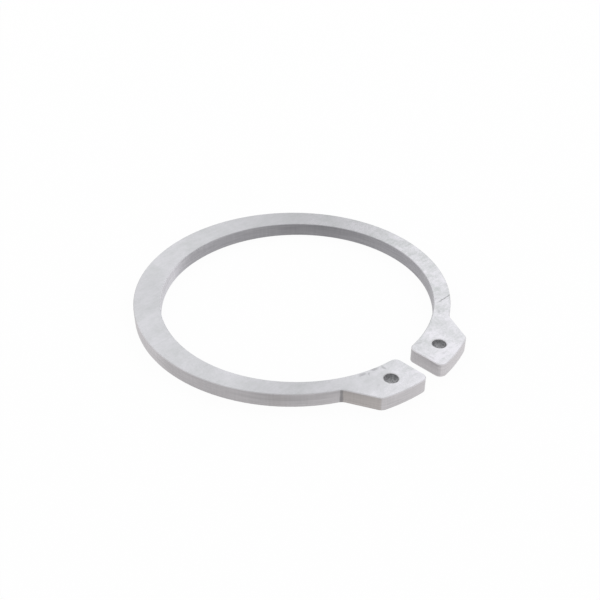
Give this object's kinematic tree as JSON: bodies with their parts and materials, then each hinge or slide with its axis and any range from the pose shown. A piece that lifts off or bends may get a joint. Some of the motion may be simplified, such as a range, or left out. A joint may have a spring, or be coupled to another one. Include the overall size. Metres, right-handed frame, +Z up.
{
  "type": "circlip retaining ring",
  "caption": "External circlip: a flat tapered spring-steel ring, open at a gap between lugs with plier holes, that snaps into a groove on a shaft.",
  "frame": {"origin": "centre of the ring's inner circle, on its lower face", "axes": "+Z up along the ring's axis, through its thickness; -Y from the centre towards the gap between the lugs; +X to the right seen from above with the gap nearest"},
  "size_m": [0.0648, 0.0694, 0.003],
  "materials": {
    "spring_steel": "plain satin spring steel, lightly stained"
  },
  "bodies": {
    "root": {"retaining_ring": "spring_steel"}
  },
  "joints": []
}
